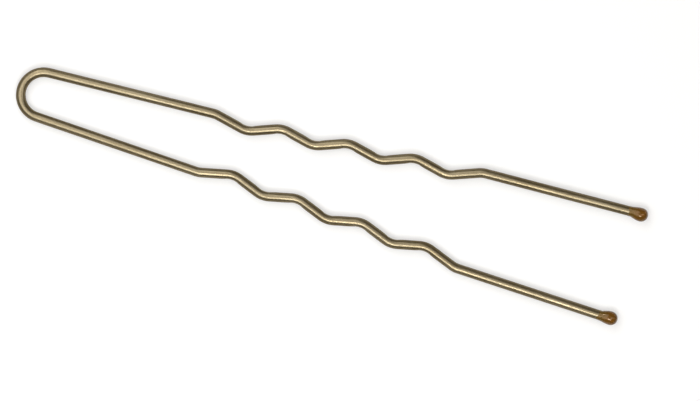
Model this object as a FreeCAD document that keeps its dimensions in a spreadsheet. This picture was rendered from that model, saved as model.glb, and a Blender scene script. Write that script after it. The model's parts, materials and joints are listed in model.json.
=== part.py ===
import FreeCAD, Part
import math
import os
import Sketcher

# A wavy U-shaped hairpin: one round wire bent into a bow, with two crimped legs and a dipped bead
# on each end. It lies flat: +X runs along the pin from the bow to the beads, +Y to the left leg and
# +Z up. The origin is below the middle of its length, on the surface that the beads lie on.

# Driving sizes, in millimetres and degrees.
SIZES = {
    # The whole pin, and the wire with its lacquer
    "overall_length": 70.0,
    "wire_diameter": 1.05,
    # Bow, measured on the middle of the wire
    "bow_radius": 2.5,
    # Straight run from the bow to the first wave, and its lean away from the middle of the pin
    "shank_length": 18.7,
    "shank_splay": 2.5,
    # Waves: distance between crests, and depth between the corners that the bends round off
    "wave_pitch": 7.45,
    "wave_depth": 1.1,
    "wave_splay": 4.0,
    "bend_radius": 2.5,
    # How far the teeth of the crimping die flatten the hollow side of each full bend
    "dent_depth": 0.04,
    # Beads, measured between their middles, with the thin skirt that creeps back along the wire
    "bead_spacing": 11.9,
    "bead_diameter": 1.55,
    "bead_neck_radius": 2.4,
    "bead_end_cover": 0.4,
    "skirt_length": 0.15,
    "skirt_thickness": 0.03,
    # Slit between the bow and each leg, where the wire is taken to flex
    "flex_gap": 0.12,
}
WAVES_PER_LEG = 4
CORNERS_PER_LEG = 2 * WAVES_PER_LEG + 1
UPWARDS = FreeCAD.Vector(0, 0, 1)
MIDDLE = FreeCAD.Vector(0, 0, 0)

doc = FreeCAD.newDocument("hairpin")
sheet = doc.addObject("Spreadsheet::Sheet", "sizes")
for row, (alias, size) in enumerate(SIZES.items(), start=1):
    sheet.set(f"A{row}", str(size))
    sheet.setAlias(f"A{row}", alias)
doc.recompute()

# Places worked out from the driving sizes, as expressions on the sheet.
WIRE_RADIUS = "(sizes.wire_diameter / 2)"
BEAD_RADIUS = "(sizes.bead_diameter / 2)"
BOW_X = f"({WIRE_RADIUS} + sizes.bow_radius - sizes.overall_length / 2)"
ROOT_X = f"({BOW_X} - sizes.bow_radius * sin(sizes.shank_splay))"
ROOT_Y = "(sizes.bow_radius * cos(sizes.shank_splay))"
WAVE_RUN = f"({WAVES_PER_LEG} * sizes.wave_pitch)"
LAST_CREST_X = (
    f"({ROOT_X} + sizes.shank_length * cos(sizes.shank_splay) + {WAVE_RUN} * cos(sizes.wave_splay))"
)
LAST_CREST_Y = (
    f"({ROOT_Y} + sizes.shank_length * sin(sizes.shank_splay) + {WAVE_RUN} * sin(sizes.wave_splay))"
)
BEAD_X = f"(sizes.overall_length / 2 - {BEAD_RADIUS})"
BEAD_Y = "(sizes.bead_spacing / 2)"
# From the middle of the bead to the end of the wire inside it
WIRE_END = f"({BEAD_RADIUS} - sizes.bead_end_cover)"


def value(expression):
    """The number that an expression on the sheet gives now."""
    return float(sheet.evalExpression(expression))


def point_at(place):
    """A pair of expressions as a vector."""
    return FreeCAD.Vector(value(place[0]), value(place[1]), 0)


def in_leg_frame(x, y):
    """A place in the pin's plane, seen from the leg's root with X along the shank."""
    lean = "sizes.shank_splay"
    along = f"({x} - {ROOT_X})"
    across = f"({y} - {ROOT_Y})"
    return (
        f"({along} * cos({lean}) + {across} * sin({lean}))",
        f"({across} * cos({lean}) - {along} * sin({lean}))",
    )


def in_waves(corner, inset):
    """A place beside a corner of the waves, set in from the line through the crests."""
    turn = "(sizes.wave_splay - sizes.shank_splay)"
    run = f"({corner} * sizes.wave_pitch / 2)"
    return (
        f"(sizes.shank_length + {run} * cos({turn}) + {inset} * sin({turn}))",
        f"({run} * sin({turn}) - {inset} * cos({turn}))",
    )


def is_inner(corner):
    """The waves start and end on a crest, so every second corner is an inner one."""
    return corner % 2 == 1


def new_body(label, x, y, turn):
    """An empty body at the height of the wire's middle, placed by expressions."""
    body = doc.addObject("PartDesign::Body", label)
    body.Placement.Rotation = FreeCAD.Rotation(UPWARDS, value(turn))
    body.setExpression("Placement.Base.x", x)
    body.setExpression("Placement.Base.y", y)
    body.setExpression("Placement.Base.z", BEAD_RADIUS)
    body.setExpression("Placement.Rotation.Angle", turn)
    return body


def new_sketch(body, name, plane):
    """An empty sketch on one of the body's own origin planes."""
    sketch = body.newObject("Sketcher::SketchObject", name)
    planes = {feature.Role: feature for feature in body.Origin.OriginFeatures}
    sketch.AttachmentSupport = (planes[plane], "")
    sketch.MapMode = "FlatFace"
    return sketch


def join(sketch, kind, *ends):
    """A geometric constraint of a sketch."""
    sketch.addConstraint(Sketcher.Constraint(kind, *ends))


def bind(sketch, kind, ends, expression):
    """A dimension of a sketch, bound to the sheet."""
    index = sketch.addConstraint(Sketcher.Constraint(kind, *ends, value(expression)))
    sketch.setExpression(f"Constraints[{index}]", expression)


def hold_point(sketch, geometry, end, place):
    """Both coordinates of a sketch point, bound to the sheet."""
    bind(sketch, "DistanceX", (-1, 1, geometry, end), place[0])
    bind(sketch, "DistanceY", (-1, 1, geometry, end), place[1])


def make_bow():
    """The bow: the wire's section turned about the middle of the bow, short of both legs."""
    body = new_body("bow", BOW_X, "0", "0")
    section = new_sketch(body, "bow_section", "XZ_Plane")
    centre = FreeCAD.Vector(-value("sizes.bow_radius"), 0, 0)
    circle = section.addGeometry(Part.Circle(centre, UPWARDS, value(WIRE_RADIUS)))
    join(section, "PointOnObject", circle, 3, -1)
    bind(section, "DistanceX", (circle, 3, -1, 1), "sizes.bow_radius")
    bind(section, "Radius", (circle,), WIRE_RADIUS)

    turned = body.newObject("PartDesign::Revolution", "bow_turn")
    turned.Profile = section
    turned.ReferenceAxis = (section, ["V_Axis"])
    turned.Midplane = True
    slit_angle = "(sizes.flex_gap / sizes.bow_radius * 180 / pi)"
    turned.setExpression("Angle", f"180 - 2 * sizes.shank_splay - 2 * {slit_angle}")
    return body


def draw_leg_path(body):
    """The middle of the wire: shank, waves with every corner rounded, and straight point."""
    path = new_sketch(body, "leg_path", "XY_Plane")
    corners = [
        in_waves(corner, "sizes.wave_depth" if is_inner(corner) else "0")
        for corner in range(CORNERS_PER_LEG)
    ]
    bead = in_leg_frame(BEAD_X, BEAD_Y)
    starts = [MIDDLE, *map(point_at, corners)]
    bead_middle = point_at(bead)
    heading = (bead_middle - starts[-1]).normalize()
    ends = [*starts[1:], bead_middle + heading * value(WIRE_END)]
    lines = [path.addGeometry(Part.LineSegment(start, end)) for start, end in zip(starts, ends)]
    join(path, "Coincident", lines[0], 1, -1, 1)
    for before, after in zip(lines, lines[1:]):
        join(path, "Coincident", before, 2, after, 1)

    # Rounding a corner leaves an arc and, after it, the corner itself as a point to measure to.
    bend_radius = value("sizes.bend_radius")
    for number, (before, after) in enumerate(zip(lines, lines[1:])):
        path.fillet(before, after, starts[number], ends[number + 1], bend_radius, True, True)
        arc = len(path.Geometry) - 2
        bind(path, "Radius", (arc,), "sizes.bend_radius")
        hold_point(path, arc + 1, 1, corners[number])

    bead_mark = path.addGeometry(Part.Point(bead_middle), True)
    hold_point(path, bead_mark, 1, bead)
    join(path, "PointOnObject", bead_mark, 1, lines[-1])
    bind(path, "Distance", (bead_mark, 1, lines[-1], 2), WIRE_END)
    return path


def draw_tooth_marks(body):
    """One circle for each tooth of the die: the wire is bent round it, so they share a middle."""
    marks = new_sketch(body, "tooth_marks", "XY_Plane")
    flank_slope = "(2 * sizes.wave_depth / sizes.wave_pitch)"
    corner_to_tooth = f"(sizes.bend_radius * sqrt(1 + {flank_slope}^2))"
    tooth_radius = f"(sizes.bend_radius - {WIRE_RADIUS} + sizes.dent_depth)"
    for corner in range(1, CORNERS_PER_LEG - 1):
        inset = f"(sizes.wave_depth - {corner_to_tooth})" if is_inner(corner) else corner_to_tooth
        place = in_waves(corner, inset)
        circle = Part.Circle(point_at(place), UPWARDS, value(tooth_radius))
        tooth = marks.addGeometry(circle)
        bind(marks, "Radius", (tooth,), tooth_radius)
        hold_point(marks, tooth, 3, place)
    return marks


def make_left_leg():
    """The left leg: the wire drawn along its path, then flattened by the die's teeth."""
    body = new_body("left_leg", ROOT_X, ROOT_Y, "sizes.shank_splay")
    path = draw_leg_path(body)
    section = new_sketch(body, "leg_section", "YZ_Plane")
    circle = section.addGeometry(Part.Circle(MIDDLE, UPWARDS, value(WIRE_RADIUS)))
    join(section, "Coincident", circle, 3, -1, 1)
    bind(section, "Radius", (circle,), WIRE_RADIUS)
    wire = body.newObject("PartDesign::AdditivePipe", "leg_wire")
    wire.Profile = section
    wire.Spine = path
    doc.recompute()
    swept = math.pi * value(WIRE_RADIUS) ** 2 * path.Shape.Length
    print(f"leg wire: {path.Shape.Length:.3f} mm long")
    print(f"leg wire: volume is {wire.Shape.Volume / swept:.6f} of section times length")

    dents = body.newObject("PartDesign::Pocket", "leg_dents")
    dents.Profile = draw_tooth_marks(body)
    dents.Midplane = True
    dents.setExpression("Length", "2 * sizes.wire_diameter")
    doc.recompute()
    print(f"leg wire: the die's teeth take {wire.Shape.Volume - dents.Shape.Volume:.4f} cubic mm")
    return body


def make_left_tip():
    """The left bead: a drop turned about the wire, with a neck, a thin skirt and the wire's bore."""
    heading = f"atan2({BEAD_Y} - {LAST_CREST_Y}; {BEAD_X} - {LAST_CREST_X})"
    body = new_body("left_tip", BEAD_X, BEAD_Y, heading)
    profile = new_sketch(body, "drop_profile", "XY_Plane")

    skirt_radius = f"({WIRE_RADIUS} + sizes.skirt_thickness)"
    neck_height = f"({skirt_radius} + sizes.bead_neck_radius)"
    neck_to_bead = f"({BEAD_RADIUS} + sizes.bead_neck_radius)"
    neck_start = f"(-sqrt({neck_to_bead}^2 - {neck_height}^2))"
    skirt_start = f"({neck_start} - sizes.skirt_length)"
    outline = [
        (BEAD_RADIUS, "0"),
        (WIRE_END, "0"),
        (WIRE_END, WIRE_RADIUS),
        (skirt_start, WIRE_RADIUS),
        (skirt_start, skirt_radius),
        (neck_start, skirt_radius),
    ]
    points = [point_at(place) for place in outline]
    cover, wire_face, bore, skirt_edge, skirt = [
        profile.addGeometry(Part.LineSegment(start, end)) for start, end in zip(points, points[1:])
    ]
    neck_centre = point_at((neck_start, neck_height))
    meeting_angle = math.atan2(neck_centre.y, neck_centre.x)
    neck_circle = Part.Circle(neck_centre, UPWARDS, value("sizes.bead_neck_radius"))
    neck = profile.addGeometry(
        Part.ArcOfCircle(neck_circle, -math.pi / 2, meeting_angle - math.pi)
    )
    drop_circle = Part.Circle(MIDDLE, UPWARDS, value(BEAD_RADIUS))
    drop = profile.addGeometry(Part.ArcOfCircle(drop_circle, 0, meeting_angle))

    join(profile, "Coincident", drop, 3, -1, 1)
    join(profile, "PointOnObject", cover, 1, -1)
    join(profile, "PointOnObject", cover, 2, -1)
    join(profile, "Coincident", drop, 1, cover, 1)
    for before, after in zip((cover, wire_face, bore, skirt_edge), (wire_face, bore, skirt_edge, skirt)):
        join(profile, "Coincident", before, 2, after, 1)
    join(profile, "Vertical", wire_face)
    join(profile, "Horizontal", bore)
    join(profile, "Vertical", skirt_edge)
    join(profile, "Horizontal", skirt)
    join(profile, "Tangent", skirt, 2, neck, 1)
    join(profile, "Tangent", neck, 2, drop, 2)
    bind(profile, "Radius", (drop,), BEAD_RADIUS)
    bind(profile, "Radius", (neck,), "sizes.bead_neck_radius")
    bind(profile, "Distance", (cover,), "sizes.bead_end_cover")
    bind(profile, "Distance", (wire_face,), WIRE_RADIUS)
    bind(profile, "Distance", (skirt_edge,), "sizes.skirt_thickness")
    bind(profile, "Distance", (skirt,), "sizes.skirt_length")

    bead = body.newObject("PartDesign::Revolution", "drop_turn")
    bead.Profile = profile
    bead.ReferenceAxis = (profile, ["H_Axis"])
    return body


def make_mirrored(source, label):
    """The right-hand twin of a piece, mirrored in the plane down the middle of the pin."""
    twin = doc.addObject("Part::Mirroring", label)
    twin.Source = source
    twin.Base = MIDDLE
    twin.Normal = FreeCAD.Vector(0, 1, 0)
    return twin


left_leg = make_left_leg()
left_tip = make_left_tip()
subparts = [
    make_bow(),
    left_leg,
    make_mirrored(left_leg, "right_leg"),
    left_tip,
    make_mirrored(left_tip, "right_tip"),
]
doc.recompute()

for thing in doc.Objects:
    if "Invalid" in thing.State or "Error" in thing.State:
        raise RuntimeError(f"{thing.Label} could not be computed")
    if thing.TypeId == "Sketcher::SketchObject" and not thing.FullyConstrained:
        raise RuntimeError(f"{thing.Label} is not fully constrained")
for subpart in subparts:
    if subpart.Shape.isNull() or not subpart.Shape.isValid():
        raise RuntimeError(f"{subpart.Label} has no valid shape")

os.makedirs("parts", exist_ok=True)
for subpart in subparts:
    subpart.Shape.exportStep(f"parts/{subpart.Label}.step")
    box = subpart.Shape.optimalBoundingBox(False, False)
    print(
        f"{subpart.Label}: {len(subpart.Shape.Solids)} solid, {subpart.Shape.Volume:.3f} cubic mm,"
        f" X {box.XMin:.3f} to {box.XMax:.3f}, Y {box.YMin:.3f} to {box.YMax:.3f},"
        f" Z {box.ZMin:.3f} to {box.ZMax:.3f}"
    )
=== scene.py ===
# %% [markdown]
# # A wavy hairpin
#
# This lesson dresses a small CAD model for a picture: an open, U-shaped hairpin. A machine cuts one
# length of lacquered spring wire, bends it round a post into a bow, crimps both legs between toothed
# dies and dips the two ends in half-clear brown resin. Once the camera, the light and the floor are in
# place, the cells below follow the same order.
#
# The CAD model is loaded first and stays where it is. It is the frame that all the rest hangs on:
# its joints say where the legs flex, and its box says how large the pin may be.

# %% Load the CAD model
import json
import math

import bmesh
import bpy
import numpy as np
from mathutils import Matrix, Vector


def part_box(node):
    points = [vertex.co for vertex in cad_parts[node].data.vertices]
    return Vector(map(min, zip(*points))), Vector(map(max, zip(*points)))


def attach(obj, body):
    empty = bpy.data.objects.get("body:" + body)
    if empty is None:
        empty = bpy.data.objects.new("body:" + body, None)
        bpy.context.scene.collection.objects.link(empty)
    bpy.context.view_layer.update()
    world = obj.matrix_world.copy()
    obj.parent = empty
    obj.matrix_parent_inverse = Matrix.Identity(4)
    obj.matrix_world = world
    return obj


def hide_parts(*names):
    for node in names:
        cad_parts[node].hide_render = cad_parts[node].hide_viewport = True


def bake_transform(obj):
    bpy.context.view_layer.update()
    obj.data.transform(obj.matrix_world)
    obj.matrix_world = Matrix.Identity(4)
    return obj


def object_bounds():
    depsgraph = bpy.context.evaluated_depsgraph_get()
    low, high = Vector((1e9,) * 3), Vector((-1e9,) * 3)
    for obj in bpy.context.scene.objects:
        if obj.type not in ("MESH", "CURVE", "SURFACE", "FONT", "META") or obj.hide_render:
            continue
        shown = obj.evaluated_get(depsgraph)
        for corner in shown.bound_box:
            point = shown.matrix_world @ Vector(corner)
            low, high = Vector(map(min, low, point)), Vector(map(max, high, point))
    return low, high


MM = 0.001


def box_in_mm(box):
    """A box's lowest and highest corners in millimetres, rounded for printing."""
    return [[round(float(side) / MM, 3) for side in corner] for corner in box]


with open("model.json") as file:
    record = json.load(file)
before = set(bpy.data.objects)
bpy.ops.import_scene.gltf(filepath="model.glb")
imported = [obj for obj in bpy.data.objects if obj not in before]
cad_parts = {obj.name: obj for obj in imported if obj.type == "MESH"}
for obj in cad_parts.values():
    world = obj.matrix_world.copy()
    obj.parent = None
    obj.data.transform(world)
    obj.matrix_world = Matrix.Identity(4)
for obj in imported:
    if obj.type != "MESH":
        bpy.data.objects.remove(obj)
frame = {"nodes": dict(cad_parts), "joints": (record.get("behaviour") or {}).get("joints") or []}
cad_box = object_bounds()
print("CAD nodes:", ", ".join(sorted(frame["nodes"])))
print("CAD box, mm:", box_in_mm(cad_box))

# %% [markdown]
# ## Sizes
#
# A hairpin is described by a handful of sizes, so they get names here, and every place further down
# is worked out from them. The leg's root, where the wire leaves the bow, is read from the joint that
# the leg flexes on, and the bead's middle from the CAD bead's box. The rest repeats the sizes that the
# CAD model was drawn with.

# %% Name the sizes
WIRE_RADIUS = 0.525 * MM
BOW_RADIUS = 2.5 * MM
SHANK_LENGTH = 18.7 * MM
SHANK_SPLAY = math.radians(2.5)
WAVES = 4
WAVE_PITCH = 7.45 * MM
WAVE_DEPTH = 1.1 * MM
WAVE_SPLAY = math.radians(4.0)
BEND_RADIUS = 2.5 * MM
BEAD_RADIUS = 0.775 * MM
WIRE_PAST_BEAD = 0.375 * MM

joints = {joint["name"]: joint for joint in frame["joints"]}
left_root = Vector(joints["left_flex"]["pos_m"])
WIRE_HEIGHT = left_root.z
tip_low, tip_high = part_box("left_tip")
bead_middle = Vector((cad_box[1].x - BEAD_RADIUS, (tip_low.y + tip_high.y) / 2, WIRE_HEIGHT))
print(f"leg root at {left_root / MM}, bead at {bead_middle / MM}, in mm")

# %% [markdown]
# ## Camera
#
# The picture was taken from straight above with a long lens, so the wire looks equally thick all
# along. A camera that isn't turned looks straight down, which leaves one turn about the upright axis:
# the pin slopes down to the right by about sixteen degrees. The lens follows from how many millimetres
# one pixel covers, and the middle of the frame is found from the pixel where the pin's own middle lies.

# %% Find what the camera looks at
PHOTO_WIDTH = 700
PHOTO_HEIGHT = 401
PIXEL = 0.10907 * MM
PIN_MIDDLE_PIXEL = (324.9, 177.9)
PIN_TURN = math.radians(16.4)

image_right = Vector((math.cos(PIN_TURN), math.sin(PIN_TURN), 0))
image_up = Vector((-math.sin(PIN_TURN), math.cos(PIN_TURN), 0))
right_of_pin = (PHOTO_WIDTH / 2 - PIN_MIDDLE_PIXEL[0]) * PIXEL
below_pin = (PHOTO_HEIGHT / 2 - PIN_MIDDLE_PIXEL[1]) * PIXEL
looked_at = image_right * right_of_pin - image_up * below_pin
print(f"middle of the picture: {looked_at / MM} mm")

# %% Set up the camera
CAMERA_HEIGHT = 0.6
NEAREST_SEEN = 6 * MM

bpy.ops.object.select_all(action="DESELECT")
bpy.ops.object.camera_add(
    location=looked_at + Vector((0, 0, WIRE_HEIGHT + CAMERA_HEIGHT)), rotation=(0, 0, PIN_TURN)
)
camera = bpy.context.object
camera.data.lens = camera.data.sensor_width * CAMERA_HEIGHT / (PHOTO_WIDTH * PIXEL)
camera.data.clip_start = NEAREST_SEEN
bpy.context.scene.camera = camera
print(f"camera: {camera.data.lens:.0f} mm lens")

# %% [markdown]
# ## Light
#
# Round metal shows the room rather than its own colour, so the lamps are placed by what the wire
# mirrors. Seen from above, the middle of the wire mirrors what is overhead, and points half way to its
# edges mirror what stands sixty degrees off. A key box a little to the viewer's side gives the bright
# line along the wire, and panels on the other sides give the softer bands beside it. Two small round
# lamps sharpen that line and give the glints on the beads. Where two lamps at one height overlap, only
# one of them would be mirrored, so each hangs a little lower than the one before. Their places and
# sizes are written as shares of their height, and the strength of each is worked out from how bright
# its face should look, where 1 is as bright as white paper.

# %% Choose the lamps
LAMP_HEIGHT = 0.25
LAMPS = {
    "near_panel": dict(right=-0.43, up=-0.39, width=1.75, depth=1.12, brightness=0.4),
    "far_panel": dict(right=-0.45, up=0.85, width=1.1, depth=1.15, brightness=2.0),
    "left_panel": dict(right=-0.775, up=0.02, width=1.35, depth=0.62, brightness=1.7),
    "right_panel": dict(right=0.8, up=0.0, width=1.2, depth=0.58, brightness=1.8),
    "key_box": dict(right=-0.17, up=-0.52, width=0.95, depth=0.75, brightness=1.5),
    "near_spark": dict(right=-0.08, up=-0.5, width=0.3, depth=0.25, brightness=16.5, is_round=True),
    "far_spark": dict(right=-0.35, up=0.95, width=0.25, depth=0.2, brightness=14, is_round=True),
}
print(f"{len(LAMPS)} lamps, {LAMP_HEIGHT} m up")

# %% Hang the lamps
LAMP_STEP = 2 * MM


def hang_lamp(name, drop, right, up, width, depth, brightness, is_round=False):
    """A level lamp over the pin. Places and sizes are shares of its height, seen from above."""
    bpy.ops.object.select_all(action="DESELECT")
    place = looked_at + (image_right * right + image_up * up) * LAMP_HEIGHT
    place.z = LAMP_HEIGHT - drop
    bpy.ops.object.light_add(type="AREA", location=place, rotation=(0, 0, PIN_TURN))
    lamp = bpy.context.object
    lamp.name = name
    lamp.data.shape = "ELLIPSE" if is_round else "RECTANGLE"
    lamp.data.size = width * LAMP_HEIGHT
    lamp.data.size_y = depth * LAMP_HEIGHT
    face = lamp.data.size * lamp.data.size_y * (math.pi / 4 if is_round else 1)
    lamp.data.energy = brightness * math.pi * face
    lamp.visible_camera = False
    print(f"{name}: {lamp.data.size:.2f} by {lamp.data.size_y:.2f} m, {lamp.data.energy:.2f} W")


for number, (name, lamp_sizes) in enumerate(LAMPS.items()):
    hang_lamp(name, number * LAMP_STEP, **lamp_sizes)

# %% Light the room dimly
ROOM_COLOUR = (1, 0.88, 0.68, 1)
ROOM_STRENGTH = 0.16


def set_inputs(node, values):
    """Sets plain values on a node's inputs, by their names."""
    for name, value in values.items():
        node.inputs[name].default_value = value


world = bpy.data.worlds.new("dim_room")
world.use_nodes = True
set_inputs(world.node_tree.nodes["Background"], {"Color": ROOM_COLOUR, "Strength": ROOM_STRENGTH})
bpy.context.scene.world = world
bpy.context.scene.view_settings.view_transform = "Standard"
print(f"room light: {ROOM_STRENGTH}")

# %% [markdown]
# ## Floor
#
# The pin lies on white paper. Lit by these lamps alone the paper would look grey, and brighter lamps
# would bleach the pin. So the paper glows a little by itself, but only for rays that are looked along:
# straight from the camera, by way of the metal or through the resin. It throws no light on the pin,
# and the pin's shadow stays on it.

# %% Lay the floor
FLOOR_SIDE = 4.0

bpy.ops.object.select_all(action="DESELECT")
bpy.ops.mesh.primitive_plane_add(size=FLOOR_SIDE)
floor = bpy.context.object
floor.name = "floor"
print(f"floor: {FLOOR_SIDE} m square")

# %% Start the paper
PAPER_GREY = (0.54, 0.54, 0.54, 1)
PAPER_ROUGHNESS = 0.9
GLOW_WHITE = (1, 1, 1, 1)


def new_material(name):
    """A new material, with its node tree and its Principled surface."""
    material = bpy.data.materials.new(name)
    material.use_nodes = True
    return material, material.node_tree, material.node_tree.nodes["Principled BSDF"]


def coat(piece, material):
    """Gives a piece this material and no other."""
    piece.data.materials.clear()
    piece.data.materials.append(material)


paper, tree, surface = new_material("white_paper")
set_inputs(surface, {
    "Base Color": PAPER_GREY, "Roughness": PAPER_ROUGHNESS, "Emission Color": GLOW_WHITE,
})
coat(floor, paper)
print(f"paper: {PAPER_GREY[0]} grey")

# %% Make it glow where it is looked at
PAPER_GLOW = 0.35


def add_node(tree, kind, settings=None, inputs=None):
    """A shader node with its settings and the values of its inputs."""
    node = tree.nodes.new(kind)
    for name, setting in (settings or {}).items():
        setattr(node, name, setting)
    set_inputs(node, inputs or {})
    return node


def add_math(tree, operation, first, second):
    """A sum, product or the like of two values, each an output of a node or a number."""
    math_node = add_node(tree, "ShaderNodeMath", {"operation": operation})
    for number, value in enumerate((first, second)):
        if isinstance(value, bpy.types.NodeSocket):
            tree.links.new(value, math_node.inputs[number])
        else:
            math_node.inputs[number].default_value = value
    return math_node.outputs["Value"]


rays = add_node(tree, "ShaderNodeLightPath").outputs
mirrored = add_math(tree, "MAXIMUM", rays["Is Glossy Ray"], rays["Is Transmission Ray"])
seen = add_math(tree, "MAXIMUM", rays["Is Camera Ray"], mirrored)
tree.links.new(add_math(tree, "MULTIPLY", seen, PAPER_GLOW), surface.inputs["Emission Strength"])
print(f"paper: {len(tree.nodes)} nodes, glows by {PAPER_GLOW}")

# %% [markdown]
# ## The route of the wire
#
# The middle line of the wire is straight runs joined by round bends: half the bow, the shank, nine
# corners of the waves and the straight point. As a Bezier curve each bend needs only two control
# points, one where it starts and one where it ends, because a handle of the right length makes a curve
# that can't be told from a circle. So the corners are worked out first, and each is then rounded.

# %% Work out the corners
def heading(angle):
    """A level direction, measured from the pin's length."""
    return Vector((math.cos(angle), math.sin(angle), 0))


bow_turn = math.pi / 2 - SHANK_SPLAY
crown = left_root + Vector((BOW_RADIUS * (math.sin(SHANK_SPLAY) - 1), -left_root.y, 0))
bow_corner = crown + Vector((0, BOW_RADIUS * math.tan(bow_turn / 2), 0))
first_crest = left_root + heading(SHANK_SPLAY) * SHANK_LENGTH
inwards = heading(WAVE_SPLAY - math.pi / 2)
wave_corners = [
    first_crest
    + heading(WAVE_SPLAY) * (number * WAVE_PITCH / 2)
    + inwards * (WAVE_DEPTH if number % 2 else 0)
    for number in range(2 * WAVES + 1)
]
point_heading = (bead_middle - wave_corners[-1]).normalized()
point_end = bead_middle + point_heading * WIRE_PAST_BEAD
corners = [crown, bow_corner, *wave_corners, point_end]
print(f"route: {len(corners)} corners, from {crown / MM} to {point_end / MM} mm")

# %% Round the corners
def rounded(before, corner, after, radius):
    """The bend at a corner: its two ends with their handles, and its length."""
    arriving = (corner - before).normalized()
    leaving = (after - corner).normalized()
    turn = arriving.angle(leaving)
    reach = radius * math.tan(turn / 2)
    handle = radius * math.tan(turn / 4) * 4 / 3
    return {
        "start": corner - arriving * reach,
        "start_handle": arriving * handle,
        "end": corner + leaving * reach,
        "end_handle": leaving * handle,
        "length": radius * turn,
    }


radii = [BOW_RADIUS] + [BEND_RADIUS] * len(wave_corners)
bends = [rounded(*places) for places in zip(corners, corners[1:], corners[2:], radii)]
print(f"route: {len(bends)} bends")

# %% Measure along the route
bend_middles = []
wire_length = 0
reached = crown
for bend in bends:
    wire_length += (bend["start"] - reached).length
    bend_middles.append(wire_length + bend["length"] / 2)
    wire_length += bend["length"]
    reached = bend["end"]
wire_length += (point_end - reached).length
print(f"route: half the wire is {wire_length / MM:.3f} mm long")

# %% Draw the route as a curve
ROUTE_STEPS = 48

route_data = bpy.data.curves.new("route", "CURVE")
route_data.dimensions = "3D"
route_data.twist_mode = "Z_UP"
route_data.resolution_u = ROUTE_STEPS
spline = route_data.splines.new("BEZIER")
spline.bezier_points.add(2 * len(bends))
places = [(bend[end], bend[f"{end}_handle"]) for bend in bends for end in ("start", "end")]
# The point is straight, so a third of it will do as the handle at its end.
places.append((point_end, (point_end - reached) / 3))
for point, (place, handle) in zip(spline.bezier_points, places):
    point.co = place
    point.handle_left = place - handle
    point.handle_right = place + handle
route = bpy.data.objects.new("route", route_data)
bpy.context.scene.collection.objects.link(route)
print(f"route: {len(places)} control points")

# %% [markdown]
# ## The wire
#
# The wire is made as the factory makes it: straight first. A cylinder is cut into short rings, the
# die's teeth flatten one side of it where the bends will be, and a Curve modifier then bends it
# along the route. One more ring lies close to the crown, so that both halves are shaded alike where
# they meet. Each point keeps its place on the straight wire in an attribute, because drawn wire
# carries fine marks along its length, and those have to follow every bend.

# %% Make half the wire, straight
SIDES = 40

bpy.ops.object.select_all(action="DESELECT")
bpy.ops.mesh.primitive_cylinder_add(
    vertices=SIDES,
    radius=WIRE_RADIUS,
    depth=wire_length,
    location=(wire_length / 2, 0, 0),
    rotation=(0, math.pi / 2, 0),
)
wire_left = bpy.context.object
wire_left.name = "wire_left"
bpy.ops.object.transform_apply()
print(f"straight wire: {SIDES} sides, {2 * WIRE_RADIUS / MM:.2f} mm thick")

# %% Cut it into short rings
FIRST_CUTS = 99
SECOND_CUTS = 5
SEAM = 0.01 * MM
TOUCHING = 0.0001 * MM


def select_lengthwise_edges(piece):
    """In edit mode, selects the edges that run along X."""
    bpy.ops.mesh.select_mode(type="EDGE")
    bpy.ops.mesh.select_all(action="DESELECT")
    shape = bmesh.from_edit_mesh(piece.data)
    for edge in shape.edges:
        along = edge.verts[1].co - edge.verts[0].co
        edge.select_set(abs(along.x) > along.length / 2)
    bmesh.update_edit_mesh(piece.data)


bpy.ops.object.mode_set(mode="EDIT")
for cuts in (FIRST_CUTS, SECOND_CUTS):
    select_lengthwise_edges(wire_left)
    bpy.ops.mesh.subdivide(number_cuts=cuts)
bpy.ops.mesh.select_all(action="SELECT")
bpy.ops.mesh.bisect(plane_co=(SEAM, 0, 0), plane_no=(1, 0, 0), threshold=TOUCHING)
bpy.ops.object.mode_set(mode="OBJECT")
print(f"straight wire: {len(wire_left.data.vertices)} points")

# %% Keep every point's place on the straight wire
def read_points(mesh):
    """The mesh's points as rows of three numbers."""
    places = np.empty(len(mesh.vertices) * 3, np.float32)
    mesh.vertices.foreach_get("co", places)
    return places.reshape(-1, 3)


straight = read_points(wire_left.data)
marks = wire_left.data.attributes.new("straight_wire", "FLOAT_VECTOR", "POINT")
marks.data.foreach_set("vector", straight.ravel())
print(f"straight wire: {len(straight)} places kept")

# %% Flatten it where the die's teeth bite
DENT_DEPTH = 0.04 * MM
DENT_RUNOUT = 0.9 * MM

# Bend 0 is the bow. Bend 1 and the last one are the outer crests, where no tooth bites.
toothed = range(2, len(bends) - 1)
dented = straight.copy()
scuffed = np.zeros(len(straight))
for number in toothed:
    hollow_side = -1 if number % 2 else 1
    past_bend = np.abs(straight[:, 0] - bend_middles[number]) - bends[number]["length"] / 2
    bite = (1 - np.clip(past_bend / DENT_RUNOUT, 0, 1)) ** 2
    limit = WIRE_RADIUS - DENT_DEPTH * bite
    facing = hollow_side * dented[:, 1]
    dented[:, 1] = hollow_side * np.minimum(facing, limit)
    scuffed = np.maximum(scuffed, bite * np.clip(facing / WIRE_RADIUS, 0, 1) ** 2)
wire_left.data.vertices.foreach_set("co", dented.ravel())
scuffs = wire_left.data.attributes.new("scuffed", "FLOAT", "POINT")
scuffs.data.foreach_set("value", scuffed.astype(np.float32))
wire_left.data.update()
print(f"die marks: {len(toothed)}, {DENT_DEPTH / MM:.2f} mm deep")

# %% Bend it along the route
SHARP_EDGE = math.radians(40)


def only_select(piece):
    """Deselects everything else and makes this piece the active one."""
    bpy.ops.object.select_all(action="DESELECT")
    piece.select_set(True)
    bpy.context.view_layer.objects.active = piece


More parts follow.
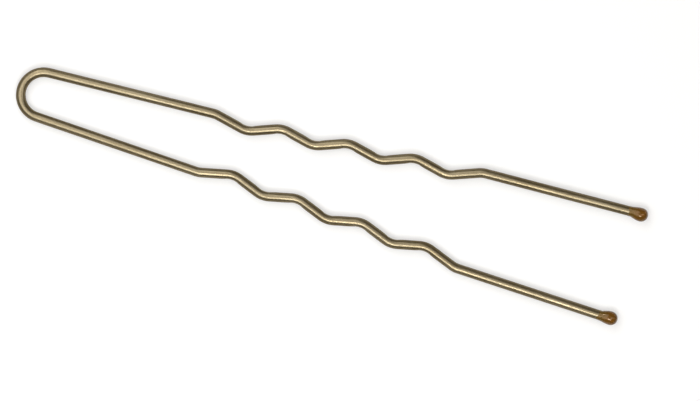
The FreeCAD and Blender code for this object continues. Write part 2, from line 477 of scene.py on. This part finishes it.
only_select(wire_left)
bender = wire_left.modifiers.new("bender", "CURVE")
bender.object = route
bender.deform_axis = "POS_X"
bpy.ops.object.modifier_apply(modifier=bender.name)
bpy.ops.object.shade_smooth_by_angle(angle=SHARP_EDGE)
bpy.data.objects.remove(route)
bent = read_points(wire_left.data)
print("bent wire, mm:", box_in_mm((bent.min(axis=0), bent.max(axis=0))))

# %% [markdown]
# ## The other half
#
# The right half mirrors the left one, so it is a copy turned over by a scale of -1. That turns its
# faces inside out, so its normals are worked out again, after any doubled points have been merged. On
# the straight wire it lies on the other side of the crown, which keeps the drawn marks running on from
# one half into the other.

# %% Mirror the wire
def mirrored_copy(piece, name):
    """A copy with its own mesh, mirrored in the plane down the middle of the pin."""
    only_select(piece)
    bpy.ops.object.duplicate()
    twin = bpy.context.object
    twin.name = name
    twin.scale.y = -1
    bpy.ops.object.transform_apply(location=False, rotation=False, scale=True)
    bpy.ops.object.mode_set(mode="EDIT")
    bpy.ops.mesh.select_all(action="SELECT")
    bpy.ops.mesh.remove_doubles(threshold=TOUCHING)
    bpy.ops.mesh.normals_make_consistent(inside=False)
    bpy.ops.object.mode_set(mode="OBJECT")
    return twin


wire_right = mirrored_copy(wire_left, "wire_right")
straight[:, 0] *= -1
wire_right.data.attributes["straight_wire"].data.foreach_set("vector", straight.ravel())
print(f"wire: {len(wire_left.data.polygons) + len(wire_right.data.polygons)} faces in two halves")

# %% [markdown]
# ## The beads
#
# Each wire end was dipped in resin. The drop that stays on it is round in front and slims down towards
# the wire behind, and a thin film of resin creeps a little further back. A ball with its poles on the
# wire is a good start: its back half is cut off, and the rim is pulled back ring by ring, each a
# little narrower, until it lies on the wire. The last ring sinks into the wire and is closed there, so
# no open edge shows.

# %% Start with half a ball
BEAD_SEGMENTS = 48
BEAD_RINGS = 32
BALL_CLEARANCE = 0.002 * MM
BALL_RADIUS = BEAD_RADIUS - BALL_CLEARANCE

bpy.ops.object.select_all(action="DESELECT")
bpy.ops.mesh.primitive_uv_sphere_add(
    segments=BEAD_SEGMENTS,
    ring_count=BEAD_RINGS,
    radius=BALL_RADIUS,
    rotation=(0, math.pi / 2, 0),
)
bead_left = bpy.context.object
bead_left.name = "bead_left"
bpy.ops.object.transform_apply()
bpy.ops.object.mode_set(mode="EDIT")
bpy.ops.mesh.select_all(action="SELECT")
bpy.ops.mesh.bisect(plane_co=(0, 0, 0), plane_no=(1, 0, 0), clear_inner=True, threshold=TOUCHING)
print(f"half a ball: {BALL_RADIUS / MM:.3f} mm radius, with its rim selected")

# %% Pull its rim back along the wire
BODY_LENGTH = 1.1 * MM
BODY_STEPS = 20
FILM_THICKNESS = 0.03 * MM
FILM_LENGTH = 0.15 * MM
SHARP_RIM = math.radians(60)


def pull_rim(place, radius, last):
    """Extrudes the open rim to a new place on the wire, at a new radius."""
    last_place, last_radius = last
    bpy.ops.mesh.extrude_region_move(
        TRANSFORM_OT_translate={"value": (place - last_place, 0, 0)}
    )
    grow = radius / last_radius
    bpy.ops.transform.resize(value=(1, grow, grow), center_override=(place, 0, 0))
    return place, radius


film_radius = WIRE_RADIUS + FILM_THICKNESS
rim = (0, BALL_RADIUS)
for step in range(1, BODY_STEPS + 1):
    share = step / BODY_STEPS
    swell = (BALL_RADIUS - film_radius) * math.cos(share * math.pi / 2)
    rim = pull_rim(-BODY_LENGTH * share, film_radius + swell, rim)
rim = pull_rim(-BODY_LENGTH - FILM_LENGTH, film_radius, rim)
rim = pull_rim(-BODY_LENGTH - 2 * FILM_LENGTH, WIRE_RADIUS - FILM_THICKNESS, rim)
bpy.ops.mesh.edge_face_add()
bpy.ops.mesh.select_all(action="SELECT")
bpy.ops.mesh.normals_make_consistent(inside=False)
bpy.ops.object.mode_set(mode="OBJECT")
bpy.ops.object.shade_smooth_by_angle(angle=SHARP_RIM)
print(f"bead: {len(bead_left.data.polygons)} faces")

# %% [markdown]
# ## No two drops are alike
#
# A drop hardens where it hangs, so it sags to one side, is never quite round and ends in a wavy line.
# The sag and the film's edge are moved in code, because they follow how thick the resin is and the
# angle round the wire. The lumps come from a Displace modifier with a cloud texture. It reads each
# point's place, so the two beads come out differently, and it mostly pushes inwards, so they stay
# within the CAD model's box. A vertex group keeps it off the film, which would sink into the wire. How
# thick the resin is stays with each point as an attribute, for its colour.

# %% Let both drops sag and creep
CREEP = 0.22 * MM
SAG = 0.07 * MM
LEFT_PHASE = 0.6
RIGHT_PHASE = 2.9


def sag_and_creep(bead, side, phase):
    """Sags the drop towards the pin's middle, moves its film back and keeps how thick it is."""
    drop = read_points(bead.data)
    reach = np.hypot(drop[:, 1], drop[:, 2])
    around = np.arctan2(drop[:, 2], drop[:, 1])
    in_film = np.clip((-BODY_LENGTH - drop[:, 0]) / FILM_LENGTH, 0, 1)
    swollen = np.clip((reach - film_radius) / (BALL_RADIUS - film_radius), 0, 1)
    swollen[drop[:, 0] > 0] = 1
    wander = (2 * np.sin(2 * around + phase) + np.sin(3 * around - 2 * phase)) / 3
    drop[:, 0] -= CREEP * in_film * (1 + wander) / 2
    drop[:, 1] -= side * SAG * swollen
    bead.data.vertices.foreach_set("co", drop.ravel())
    thickness = bead.data.attributes.new("thick", "FLOAT", "POINT")
    thickness.data.foreach_set("value", swollen.astype(np.float32))


only_select(bead_left)
bpy.ops.object.duplicate()
bead_right = bpy.context.object
bead_right.name = "bead_right"
sag_and_creep(bead_left, 1, LEFT_PHASE)
sag_and_creep(bead_right, -1, RIGHT_PHASE)
print(f"drops: sag {SAG / MM:.2f} mm, creep up to {CREEP / MM:.2f} mm")

# %% Put them on the wire ends
for bead, side in ((bead_left, 1), (bead_right, -1)):
    bead.rotation_euler.z = side * math.atan2(point_heading.y, point_heading.x)
    bead.location = (bead_middle.x, side * bead_middle.y, bead_middle.z)
    only_select(bead)
    bpy.ops.object.transform_apply()
    print(f"{bead.name} at y {side * bead_middle.y / MM:.3f} mm")

# %% Make them lumpy
LUMP_DEPTH = 0.04 * MM
LUMP_SIZE = 0.8 * MM
LUMP_LEVEL = 0.9

lumps = bpy.data.textures.new("resin_lumps", "CLOUDS")
lumps.noise_scale = LUMP_SIZE
for bead in (bead_left, bead_right):
    on_ball = bead.vertex_groups.new(name="on_ball")
    for number, point in enumerate(bead.data.attributes["thick"].data):
        on_ball.add([number], point.value, "REPLACE")
    only_select(bead)
    uneven = bead.modifiers.new("uneven", "DISPLACE")
    uneven.texture = lumps
    uneven.texture_coords = "LOCAL"
    uneven.vertex_group = on_ball.name
    uneven.mid_level = LUMP_LEVEL
    uneven.strength = LUMP_DEPTH
    bpy.ops.object.modifier_apply(modifier=uneven.name)
    bead.vertex_groups.clear()
    drop = read_points(bead.data)
    print(f"{bead.name}, mm:", box_in_mm((drop.min(axis=0), drop.max(axis=0))))

# %% [markdown]
# ## Bronze lacquer
#
# The wire is coated with a satin metallic lacquer. Fine flakes in it glint, the die that the wire was
# drawn through left fine grooves along its length, which spread its shine sideways, and the colour
# drifts a little from one stretch to the next. A picture of lacquer would stretch at the bends, so the
# pattern is worked out from noise instead, and read from the place that each point had on the straight
# wire. Where the crimping die's teeth bit, the lacquer is crushed: there the metal shows through in
# pale specks.

# %% Start the lacquer
# The near-black edge tint is painted shade: it darkens the wire's rims at grazing angles.
PAINTED_RIM_SHADE = (0.03, 0.015, 0.005, 1)


def add_attribute(tree, name, output):
    """What the mesh keeps at its points under this name, as the output Vector or Fac."""
    return add_node(tree, "ShaderNodeAttribute", {"attribute_name": name}).outputs[output]


lacquer, tree, surface = new_material("bronze_lacquer")
set_inputs(surface, {"Metallic": 1.0, "Specular Tint": PAINTED_RIM_SHADE})
on_wire = add_attribute(tree, "straight_wire", "Vector")
crushed = add_attribute(tree, "scuffed", "Fac")
print("lacquer: reads straight_wire and scuffed")

# %% Draw the grooves of the drawing die
STREAK_LENGTH = 5 * MM
STREAK_WIDTH = 0.09 * MM
STREAK_SHARE = 1.5
GRAIN = 0.2 * MM
GRAIN_SHARE = 0.5
FINE = 3


def add_noise(tree, place, size, detail):
    """A noise pattern whose spots are about this large. Its value is the output Fac."""
    noise = add_node(tree, "ShaderNodeTexNoise", inputs={"Scale": 1 / size, "Detail": detail})
    tree.links.new(place, noise.inputs["Vector"])
    return noise.outputs["Fac"]


stretch = (1 / STREAK_LENGTH, 1 / STREAK_WIDTH, 1 / STREAK_WIDTH)
stretched = add_node(tree, "ShaderNodeMapping", inputs={"Scale": stretch})
tree.links.new(on_wire, stretched.inputs["Vector"])
streaks = add_noise(tree, stretched.outputs["Vector"], 1, FINE)
strong_streaks = add_math(tree, "MULTIPLY", streaks, STREAK_SHARE)
grain = add_noise(tree, on_wire, GRAIN, FINE)
weak_grain = add_math(tree, "MULTIPLY", grain, GRAIN_SHARE)
drawn = add_math(tree, "ADD", strong_streaks, weak_grain)
print(f"streaks: {STREAK_LENGTH / MM:.0f} mm long, {STREAK_WIDTH / MM:.2f} mm wide")

# %% Scatter the flakes
FLAKE = 0.07 * MM
DULL_FLAKE = 0.6
GLINT_SHARE = 0.45


def add_range(tree, value, low, high, new_low=0, new_high=1):
    """Maps the values from low to high onto a new range, and holds them there."""
    limits = {"From Min": low, "From Max": high, "To Min": new_low, "To Max": new_high}
    mapped = add_node(tree, "ShaderNodeMapRange", inputs=limits)
    tree.links.new(value, mapped.inputs["Value"])
    return mapped.outputs["Result"]


flake_cells = add_node(tree, "ShaderNodeTexVoronoi", inputs={"Scale": 1 / FLAKE})
tree.links.new(on_wire, flake_cells.inputs["Vector"])
glints = add_range(tree, flake_cells.outputs["Color"], DULL_FLAKE, 1, 0, GLINT_SHARE)
print(f"flakes: {FLAKE / MM:.2f} mm")

# %% Crush the lacquer where the teeth bit
SPECK = 0.09 * MM
COARSE = 2
BARE_FROM = 1.05
BARE_TO = 1.4
BARE_SHARE = 0.65

specks = add_noise(tree, on_wire, SPECK, COARSE)
bare = add_range(tree, add_math(tree, "ADD", crushed, specks), BARE_FROM, BARE_TO, 0, BARE_SHARE)
print(f"bare specks: {SPECK / MM:.2f} mm")

# %% Colour the lacquer
DARK_BRONZE = (0.185, 0.146, 0.082, 1)
LIGHT_BRONZE = (0.28, 0.236, 0.155, 1)
FLAKE_BRONZE = (0.42, 0.365, 0.26, 1)
BARE_STEEL = (0.58, 0.53, 0.44, 1)
DRIFT = 9 * MM
PLAIN = 1
DARK_TONE = 1.1
LIGHT_TONE = 1.9


def add_mix(tree, share, first, second):
    """Mixes two colours, each an output of a node or a plain colour."""
    mix = add_node(tree, "ShaderNodeMix", {"data_type": "RGBA"})
    tree.links.new(share, mix.inputs["Factor"])
    colour_inputs = [socket for socket in mix.inputs if socket.type == "RGBA"]
    for socket, colour in zip(colour_inputs, (first, second)):
        if isinstance(colour, bpy.types.NodeSocket):
            tree.links.new(colour, socket)
        else:
            socket.default_value = colour
    return next(socket for socket in mix.outputs if socket.type == "RGBA")


drift = add_noise(tree, on_wire, DRIFT, PLAIN)
tone = add_range(tree, add_math(tree, "ADD", drawn, drift), DARK_TONE, LIGHT_TONE)
flaked = add_mix(tree, glints, add_mix(tree, tone, DARK_BRONZE, LIGHT_BRONZE), FLAKE_BRONZE)
tree.links.new(add_mix(tree, bare, flaked, BARE_STEEL), surface.inputs["Base Color"])
print(f"lacquer: the colour drifts over {DRIFT / MM:.0f} mm")

# %% Make it satin, grooved and pitted
SMOOTH_FROM = 0.7
ROUGH_FROM = 1.3
SMOOTHEST = 0.29
ROUGHEST = 0.37
BARE_ROUGHNESS = 0.15
PIT_SHARE = 1.3
RELIEF = 0.007 * MM


def add_bump(tree, surface, height, depth):
    """Shades the surface as if this height, times this depth, stood up from it."""
    bump = add_node(tree, "ShaderNodeBump", inputs={"Distance": depth})
    tree.links.new(height, bump.inputs["Height"])
    tree.links.new(bump.outputs["Normal"], surface.inputs["Normal"])


gloss = add_range(tree, drawn, SMOOTH_FROM, ROUGH_FROM, SMOOTHEST, ROUGHEST)
crushed_gloss = add_math(tree, "MULTIPLY", bare, BARE_ROUGHNESS)
tree.links.new(add_math(tree, "ADD", gloss, crushed_gloss), surface.inputs["Roughness"])
pits = add_math(tree, "MULTIPLY", add_math(tree, "MULTIPLY", crushed, specks), PIT_SHARE)
add_bump(tree, surface, add_math(tree, "ADD", drawn, pits), RELIEF)
for half in (wire_left, wire_right):
    coat(half, lacquer)
print(f"lacquer: {len(tree.nodes)} nodes")

# %% [markdown]
# ## Amber resin
#
# The resin is brown and only half clear: where it is thin it looks olive, where it is thick it glows
# orange, and the wire shows through it dimly. So part of the light is scattered in it, like paint, and
# the rest goes through it, like glass with absorption, which takes more blue than red for every
# millimetre. The wire really is inside the bead, so it doesn't have to be painted. Its glints are cream
# rather than white, so its shine is tinted. Faint clouds and a slightly uneven gloss keep the beads
# from looking like cut glass.

# %% Colour the resin
CLOUD = 0.45 * MM
THIN_RESIN = (0.235, 0.135, 0.018, 1)
THICK_RESIN = (0.27, 0.115, 0.012, 1)
THIN_FROM = 0.4
THICK_FROM = 1.6

resin, tree, surface = new_material("amber_resin")
in_bead = add_node(tree, "ShaderNodeTexCoord").outputs["Object"]
clouds = add_noise(tree, in_bead, CLOUD, COARSE)
thick = add_attribute(tree, "thick", "Fac")
deep = add_range(tree, add_math(tree, "ADD", clouds, thick), THIN_FROM, THICK_FROM)
tree.links.new(add_mix(tree, deep, THIN_RESIN, THICK_RESIN), surface.inputs["Base Color"])
print(f"resin: clouds of {CLOUD / MM:.2f} mm")

# %% Make it half clear
RESIN_IOR = 1.52
CLEARNESS = 0.6
LET_THROUGH = (0.86, 0.66, 0.2, 1)
RESIN_DENSITY = 4200

set_inputs(surface, {"IOR": RESIN_IOR, "Transmission Weight": CLEARNESS})
body = {"Color": LET_THROUGH, "Density": RESIN_DENSITY}
absorption = add_node(tree, "ShaderNodeVolumeAbsorption", inputs=body)
tree.links.new(absorption.outputs["Volume"], tree.nodes["Material Output"].inputs["Volume"])
print(f"resin: {CLEARNESS:.0%} clear")

# %% Give it a wet shine
SHINE_TINT = (1, 0.8, 0.58, 1)
CLEAR_FROM = 0.3
CLOUDY_FROM = 0.7
GLOSSIEST = 0.03
DULLEST = 0.06
RIPPLE = 0.004 * MM

set_inputs(surface, {"Specular Tint": SHINE_TINT})
gloss = add_range(tree, clouds, CLEAR_FROM, CLOUDY_FROM, GLOSSIEST, DULLEST)
tree.links.new(gloss, surface.inputs["Roughness"])
add_bump(tree, surface, clouds, RIPPLE)
for bead in (bead_left, bead_right):
    coat(bead, resin)
print(f"resin: {len(tree.nodes)} nodes")

# %% [markdown]
# ## Joining it to the moving legs
#
# A leg flexes where the wire leaves the bow. The two halves of the wire take the place of the CAD bow
# and legs, which are hidden, and the beads ride on their legs in place of the CAD tips.

for side, half, bead in (("left", wire_left, bead_left), ("right", wire_right, bead_right)):
    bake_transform(half)
    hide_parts("bow", f"{side}_leg")
    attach(bead, f"{side}_leg")
    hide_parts(f"{side}_tip")
